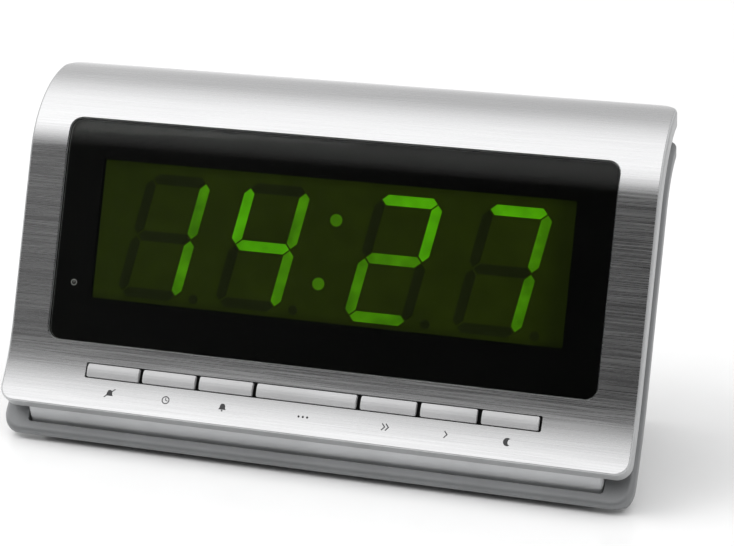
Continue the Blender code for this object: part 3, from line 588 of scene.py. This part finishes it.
# ---------------------------------------------------------------- front layers
def make_front():
    window = rounded(-112.0, 112.3, -32.3, 58.7, 5.2)
    slot = rounded(-92.85, 92.85, -KEY_S - 3.1, -KEY_S + 3.1, 0.7, 3)
    skin = rounded(-127.0, 127.0, -58.4, 97.5, 7.4, 10, low_radius=5.4)
    piece(
        "fascia_sheet",
        layer([skin, window, slot], *DEPTHS["sheet"]),
        "cabinet",
        [BRUSHED],
        ["fascia_skin"],
        bevel=0.3,
        segments=3,
    )
    outer = rounded(-127.6, 127.6, -58.9, 98.0, 8.0, 10, low_radius=6.0)
    inner = rounded(-126.9, 126.9, -58.2, 97.3, 7.3, 10, low_radius=5.3)
    pocket = rounded(-125.2, 125.2, -56.5, 95.6, 3.0, 6)
    ledge = rounded(-111.85, 112.15, -32.15, 58.55, 5.1)
    rim = joined(
        layer([outer, inner], *DEPTHS["rim_front"], 1.003, front_round=0.25),
        layer([outer, pocket], *DEPTHS["rim"], 1.0045, front_scale=1.003, rear_round=1.7),
    )
    piece("bezel_rim", rim, "cabinet", [BEZEL_PAINT], ["front_bezel"])
    tray = joined(
        layer([pocket, ledge, slot], *DEPTHS["tray"]),
        layer([ledge, LENS_OPENING], *DEPTHS["lens_seat"]),
    )
    piece("bezel_tray", tray, "cabinet", [BEZEL_PAINT], bevel=0.22)
    lens = rounded(-111.6, 111.85, -31.85, 58.2, 4.8)
    piece(
        "smoked_window",
        layer([lens], *DEPTHS["lens"]),
        "cabinet",
        [LENS],
        ["display_lens"],
        bevel=0.3,
    )


def make_core_and_shell():
    outer = rounded(-117.4, 117.4, -58.2, 79.0, 1.6, 5)
    inner = rounded(-114.9, 114.9, -56.5, 76.5, 1.0, 3)
    slot = rounded(-95.45, 95.45, -KEY_S - 5.6, -KEY_S + 5.6, 0.6, 2)
    core = joined(
        layer([outer, inner], *DEPTHS["core"], back_lip=62.4, front_round=1.3),
        layer([inner, LENS_OPENING, slot], *DEPTHS["core_web"]),
    )
    piece(
        "core_front",
        core,
        "cabinet",
        [CORE_PAINT],
        ["core_housing"],
        bevel=0.3,
    )

    way = rounded(-117.8, 117.8, -62.9, 79.8, 1.5, 3)
    edge = round_section(3.6, *DEPTHS["shell"], 2.1, 1.3)
    hollow = rounded(-125.28, 125.28, -63.6, 84.4, 0.4, 8, low_radius=4.4)
    closing = rounded(-121.0, 121.0, -63.5, -40.0, 1.5, 3)
    closing_way = rounded(-115.5, 115.5, -59.5, -41.5, 1.0, 3)
    # The last layer closes the shell behind the core's lower edge, where light would show through.
    shell = joined(
        ring(128.88, -67.2, 88.0, 4.0, 8.0, edge, SHELL_FLOOR),
        layer([hollow, way], *DEPTHS["shell_web"], floor=SHELL_FLOOR),
        layer([closing, closing_way], *DEPTHS["closing"], floor=SHELL_FLOOR),
    )
    piece("shell_ring", shell, "cabinet", [SHELL_PAINT], ["rear_shell"])


def key_crown(x, s):
    """The keys' faces are rounded from top to bottom."""
    return KEY_CROWN * (1.0 - ((s - KEY_S) / (KEY_HEIGHT / 2)) ** 2)


def key_places():
    """Each key's name, left edge and width."""
    total = sum(width for _, width in KEYS) + KEY_SPACE * (len(KEYS) - 1)
    x = -total / 2
    for name, width in KEYS:
        yield name, x, width
        x += width + KEY_SPACE


KEY_ROWS, KEY_GAP = 12, 0.06


def make_keys():
    for name, x, width in key_places():
        outline = rounded(x, x + width, -KEY_S - KEY_HEIGHT / 2, -KEY_S + KEY_HEIGHT / 2, 0.5, 4)
        lines = [-KEY_S + KEY_HEIGHT * (i / KEY_ROWS - 0.5) for i in range(1, KEY_ROWS)]
        piece(
            f"keycap_{name}",
            layer([outline], *DEPTHS["key"], crown=key_crown, lines=lines),
            f"{name}_key",
            [KEY_PAINT],
            [f"key_{name}"],
            bevel=0.35,
            segments=3,
        )
    # A near-black sheet just behind the skin's key slot, with a hole for each key: painted shade,
    # which makes the gaps round and between the keys dark.
    outlines = [rounded(-92.7, 92.7, -KEY_S - 2.95, -KEY_S + 2.95, 0.6, 3)]
    tall = KEY_HEIGHT / 2 + KEY_GAP
    for _, x, width in key_places():
        left, right = x - KEY_GAP, x + width + KEY_GAP
        outlines.append(rounded(left, right, -KEY_S - tall, -KEY_S + tall, 0.5, 4))
    gap_shade = layer(outlines, *DEPTHS["gap_shade"])
    piece("key_gap_shade", gap_shade, "cabinet", [KEY_GAP_SHADE])


# ---------------------------------------------------------------- display
SLANT = math.tan(math.radians(10.3))
DIGIT_X = (-67.9, -26.2, 27.4, 70.4)
DIGIT_NAMES = ("hour_tens", "hour_units", "minute_tens", "minute_units")
LIT_BARS = {"hour_tens": "bc", "hour_units": "bcfg", "minute_tens": "abdeg", "minute_units": "abc"}
BRIGHT_BARS = {"hour_units": "fg", "minute_tens": "ab", "minute_units": "a"}
BAR, BAR_GAP = 4.1, 0.9
DIGIT_WIDTH, DIGIT_HEIGHT = 27.0, 50.2
POINT_X, POINT_UP, POINT_RADIUS = 19.4 - 24.0 * SLANT, -23.4, 1.9
DOTS_UP, DOT_X, DOT_RADIUS = (12.2, -13.2), 0.6, 2.45
DISPLAY_HALF, FACE_ROW = 28, 4


def bar_outline(x, y, length, flat):
    """One bar of a digit with pointed ends, lying (flat) or standing, and slanted."""
    half, tip = length / 2, BAR / 2
    bar = [(-half, 0), (-half + tip, tip), (half - tip, tip)]
    bar += [(half, 0), (half - tip, -tip), (-half + tip, -tip)]
    if not flat:
        bar = [(-v, u) for u, v in bar]
    return [(x + u + (y + v) * SLANT, y + v) for u, v in bar]


def bars():
    """Letter, centre and direction of the seven bars from the digit's centre."""
    wide, tall = (DIGIT_WIDTH - BAR) / 2, (DIGIT_HEIGHT - BAR) / 2
    return (
        ("a", 0, tall, True),
        ("g", 0, 0, True),
        ("d", 0, -tall, True),
        ("f", -wide, tall / 2, False),
        ("b", wide, tall / 2, False),
        ("e", -wide, -tall / 2, False),
        ("c", wide, -tall / 2, False),
    )


def make_display():
    for name, x in zip(DIGIT_NAMES, DIGIT_X):
        parts = []
        for letter, bx, by, flat in bars():
            length = (DIGIT_WIDTH - BAR if flat else (DIGIT_HEIGHT - BAR) / 2) - BAR_GAP
            outline = shifted(bar_outline(bx, by, length, flat), x, DIGIT_MID)
            look = 1 if letter in LIT_BARS[name] else 0
            if letter in BRIGHT_BARS.get(name, ""):
                look = 2
            parts.append(layer([outline], *DEPTHS["bar"], material=look))
        point = shifted(disc(x + POINT_X, POINT_UP, POINT_RADIUS), 0, DIGIT_MID)
        parts.append(layer([point], *DEPTHS["bar"]))
        digit = joined(*parts)
        piece(
            f"lit_{name}",
            digit,
            "cabinet",
            [UNLIT_PAINTED_GLOW, LIT, LIT_BRIGHT],
            [f"digit_{name}"],
        )
    parts = []
    for up in DOTS_UP:
        outline = shifted(disc(DOT_X + up * SLANT, up, DOT_RADIUS), 0, DISPLAY_MID)
        parts.append(layer([outline], *DEPTHS["bar"]))
    piece("lit_colon", joined(*parts), "cabinet", [LIT_DIM], ["colon_dots"])

    face = shifted(rounded(-95.9, 96.9, -DISPLAY_HALF, DISPLAY_HALF, 0.6, 2), 0, DISPLAY_MID)
    rows = 2 * DISPLAY_HALF // FACE_ROW
    lines = [-DISPLAY_MID - DISPLAY_HALF + FACE_ROW * i for i in range(1, rows)]
    # The display face, which glows faintly with painted light.
    painted_glow = layer([face], *DEPTHS["display_face"], lines=lines)
    piece("display_face", painted_glow, "cabinet", [PAINTED_GLOW], ["display_filter"])
    mask = layer([rounded(-111.45, 111.75, -31.75, 58.15, 4.7), face], *DEPTHS["mask"])
    piece("window_mask", mask, "cabinet", [MASK])


# ---------------------------------------------------------------- captions
def stroke(x0, y0, x1, y1, width=0.34):
    """A straight line of a mark, as an outline."""
    along = Vector((x1 - x0, y1 - y0)).normalized() * width / 2
    side = Vector((-along.y, along.x))
    ends = [Vector((x0, y0)) - along, Vector((x1, y1)) + along]
    return [tuple(p) for p in (ends[0] - side, ends[1] - side, ends[1] + side, ends[0] + side)]


def crescent(radius, bite=0.75, steps=14):
    """A moon's outline."""
    outer = [(radius * math.cos(a), radius * math.sin(a)) for a in turns(50, 310, steps)]
    tip = radius * math.sin(math.radians(50))
    back = radius * math.cos(math.radians(50))
    inner = [(back - bite * tip * math.cos(a), tip * math.sin(a)) for a in turns(-90, 90, steps)]
    return outer + inner[1:-1]


def bell():
    """A bell's outline."""
    dome = [(0.85 * math.cos(a), 0.35 + 0.75 * math.sin(a)) for a in turns(0, 180, 10)]
    return dome + [(-0.95, -0.4), (-1.35, -0.8), (1.35, -0.8), (0.95, -0.4)]


def marks():
    """Every key's printed mark, as groups of an outline and its holes round the mark's centre."""
    circle = [disc(0, 0, 1.3), disc(0, 0, 0.98)]
    return {
        "alarm_off": [[bell()], [stroke(-1.6, -1.3, 1.6, 1.4, 0.3)]],
        "time": [circle, [stroke(0, 0, 0, 0.75, 0.26)], [stroke(0, 0, 0.55, -0.2, 0.26)]],
        "alarm_set": [[bell()], [disc(0, -1.15, 0.28)]],
        "snooze": [[disc(x, 0, 0.36)] for x in (-1.4, 0, 1.4)],
        "hour": [[stroke(x, 0.95, x + 0.8, 0)] for x in (-1.0, 0.2)]
        + [[stroke(x + 0.8, 0, x, -0.95)] for x in (-1.0, 0.2)],
        "minute": [[stroke(-0.4, 0.95, 0.4, 0)], [stroke(0.4, 0, -0.4, -0.95)]],
        "sleep": [[crescent(1.3)]],
    }


def make_captions():
    """Small generic marks printed under the keys, and one by the lamp behind the window."""
    groups = marks()
    for name, x, width in key_places():
        middle = x + width / 2
        parts = []
        for group in groups[name]:
            outlines = [[(u * MARK_SCALE, v * MARK_SCALE) for u, v in outline] for outline in group]
            outlines = [shifted(outline, middle, CAPTION_S) for outline in outlines]
            parts.append(layer(outlines, *DEPTHS["mark"]))
        piece(f"mark_{name}", joined(*parts), "cabinet", [INK])
    low, high = (Vector(corner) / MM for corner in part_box("auto_lamp"))
    lamp_x = (low.x + high.x) / 2
    circle = [disc(lamp_x, LAMP_UP, 1.25), disc(lamp_x, LAMP_UP, 0.95)]
    hand = stroke(lamp_x, LAMP_UP, lamp_x, LAMP_UP + 0.7, 0.25)
    parts = [layer(outlines, *DEPTHS["lamp_mark"]) for outlines in (circle, [hand])]
    piece("mark_lamp", joined(*parts), "cabinet", [PALE_INK])


# ---------------------------------------------------------------- edge wheels
WHEEL_THICK, RIBS = 5.0, 72


def make_ribs():
    """Ribs for a finger's grip round the two edge wheels."""
    sides = ((0, 1, 3, 2), (4, 6, 7, 5), (0, 2, 6, 4), (1, 5, 7, 3), (0, 4, 5, 1), (2, 3, 7, 6))
    for name in ("tuning", "volume"):
        low, high = (Vector(corner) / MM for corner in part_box(f"{name}_wheel"))
        radius = (high.x - low.x) / 2
        middle = Vector((low.x + high.x, 2 * high.y - WHEEL_THICK, low.z + high.z)) / 2
        bm = bmesh.new()
        for i in range(RIBS):
            turn = 2 * math.pi * i / RIBS
            out = Vector((math.cos(turn), 0, math.sin(turn)))
            along = Vector((-math.sin(turn), 0, math.cos(turn)))
            corners = []
            for r, half, inset in ((radius - 0.3, 0.42, 0.5), (radius + 0.2, 0.22, 0.9)):
                for side in (-half, half):
                    for end in (inset - WHEEL_THICK / 2, WHEEL_THICK / 2 - inset):
                        place = middle + out * r + along * side + Vector((0, end, 0))
                        corners.append(bm.verts.new(place * MM))
            for side in sides:
                bm.faces.new([corners[k] for k in side])
        bmesh.ops.recalc_face_normals(bm, faces=bm.faces)
        piece(f"{name}_ribs", bm, name, [BLACK])


make_front()
make_core_and_shell()
make_keys()
make_display()
make_captions()
make_ribs()

# ---------------------------------------------------------------- carried-over pieces
NODE_LOOKS = {
    "rear_cabinet": CABINET_PAINT,
    "battery_door": CABINET_PAINT,
    "digit_module": MASK,
    "display_board": BOARD,
    "key_board": BOARD,
    "main_board": BOARD,
    "clock_chip": BLACK,
    "radio_chip": BLACK,
    "battery_snap": BLACK,
    "tuning_wheel": BLACK,
    "volume_wheel": BLACK,
    "function_slider": BLACK,
    "band_slider": BLACK,
    "keypad_mat": RUBBER,
    "cord_inlet": RUBBER,
    "speaker_cone": CONE,
    "speaker_frame": STEEL,
    "speaker_magnet": IRON,
    "transformer_core": IRON,
    "transformer_winding": TAPE,
    "ferrite_rod": IRON,
    "antenna_coil": COPPER,
    "filter_capacitor": SLEEVE,
    "tuning_capacitor": GANG,
    "volume_pot": STEEL,
    "function_switch": STEEL,
    "band_switch": STEEL,
    # The unlit auto lamp is made to shine faintly too: painted light.
    "auto_lamp": UNLIT_PAINTED_GLOW,
}
for group, count, look in (
    ("cabinet_screw", 4, STEEL),
    ("speaker_screw", 2, STEEL),
    ("board_screw", 2, STEEL),
    ("foot", 4, RUBBER),
):
    for i in range(1, count + 1):
        NODE_LOOKS[f"{group}_{i}"] = look
for node, look in NODE_LOOKS.items():
    for material_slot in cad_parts[node].material_slots:
        material_slot.material = look

# ---------------------------------------------------------------- studio
floor_mesh = bpy.data.meshes.new("floor")
bm = bmesh.new()
bmesh.ops.create_grid(bm, x_segments=8, y_segments=8, size=60.0)
bm.to_mesh(floor_mesh)
bm.free()
floor = bpy.data.objects.new("floor", floor_mesh)
bpy.context.scene.collection.objects.link(floor)
PAPER = (0.93, 0.93, 0.93)
FLOOR = detailed("floor_paper", PAPER, 0.16, grain=0.3, bump=0.0, vary=0.01, rough=0.02)
floor_mesh.materials.append(FLOOR)

world = bpy.context.scene.world or bpy.data.worlds.new("studio")
bpy.context.scene.world = world
world.use_nodes = True
tree = world.node_tree
background = tree.nodes["Background"]


def world_node(kind, operation=None, *inputs):
    """A node of the studio's sky whose inputs are numbers or other nodes' outputs."""
    node = tree.nodes.new(kind)
    if operation:
        node.operation = operation
    for i, value in enumerate(inputs):
        if isinstance(value, (int, float)):
            node.inputs[i].default_value = value
        else:
            tree.links.new(value, node.inputs[i])
    return node


# The studio's brightness by angle, from the front horizon over the top to the back horizon:
# a dim room in front, a wide overhead softbox, a grey ceiling and a white wall behind.
direction = world_node("ShaderNodeTexCoord").outputs["Generated"]
split = world_node("ShaderNodeSeparateXYZ", None, direction)
forward = world_node("ShaderNodeMath", "MULTIPLY", split.outputs["Y"], -1.0)
angle = world_node("ShaderNodeMath", "ARCTAN2", split.outputs["Z"], forward.outputs[0])
turn = world_node("ShaderNodeMath", "DIVIDE", angle.outputs[0], math.pi)
ramp = world_node("ShaderNodeValToRGB", None, turn.outputs[0])
STUDIO = (
    (0.0, 0.02),
    (0.195, 0.03),
    (0.255, 1.1),
    (0.31, 1.68),
    (0.52, 1.58),
    (0.60, 1.28),
    (0.68, 0.90),
    (0.73, 0.72),
    (0.87, 0.68),
    (0.95, 0.90),
    (1.0, 1.35),
)
while len(ramp.color_ramp.elements) < len(STUDIO):
    ramp.color_ramp.elements.new(0.5)
for element, (position, level) in zip(ramp.color_ramp.elements, STUDIO):
    element.position = position
    element.color = (level, level, level, 1.0)
level = world_node("ShaderNodeMath", "MULTIPLY_ADD", split.outputs["Z"], -1.0, 1.0)
lateral = world_node("ShaderNodeMath", "MULTIPLY", split.outputs["X"], level.outputs[0])
side = world_node("ShaderNodeMath", "MULTIPLY_ADD", lateral.outputs[0], -0.8, 0.95)
shaded = world_node("ShaderNodeMath", "MULTIPLY", ramp.outputs["Color"], side.outputs[0])
# A white wall off to the right, which lights the edges and sides that face it.
wall = world_node("ShaderNodeMapRange", None, split.outputs["X"], 0.50, 0.72, 0.0, 0.75)
lit = world_node("ShaderNodeMath", "MAXIMUM", shaded.outputs[0], wall.outputs[0])
# The dim room in front of it is a little lighter to the left.
room = world_node("ShaderNodeMapRange", None, split.outputs["X"], -0.42, -0.14, 0.145, 0.035)
total = world_node("ShaderNodeMath", "MAXIMUM", lit.outputs[0], room.outputs[0])
tree.links.new(total.outputs[0], background.inputs["Color"])
background.inputs["Strength"].default_value = 1.0


def area_light(name, location, target, size, power):
    data = bpy.data.lights.new(name, "AREA")
    data.shape = "RECTANGLE"
    data.size, data.size_y = size
    data.energy = power
    lamp = bpy.data.objects.new(name, data)
    bpy.context.scene.collection.objects.link(lamp)
    lamp.location = location
    lamp.rotation_euler = (Vector(target) - Vector(location)).to_track_quat("-Z", "Y").to_euler()
    return lamp


softbox = area_light("key_softbox", (-0.9, -0.5, 1.3), (0, 0, 0.05), (0.8, 0.8), 6.0)
softbox.visible_glossy = False

bpy.context.scene.view_settings.view_transform = "Standard"

camera_data = bpy.data.cameras.new("camera")
camera_data.lens = 98.1
camera_data.sensor_width = 36.0
camera = bpy.data.objects.new("camera", camera_data)
bpy.context.scene.collection.objects.link(camera)
camera.location = (0.2259, -0.7153, 0.3396)
camera.rotation_euler = (math.radians(70.1), 0.0, math.radians(16.6))
bpy.context.scene.camera = camera
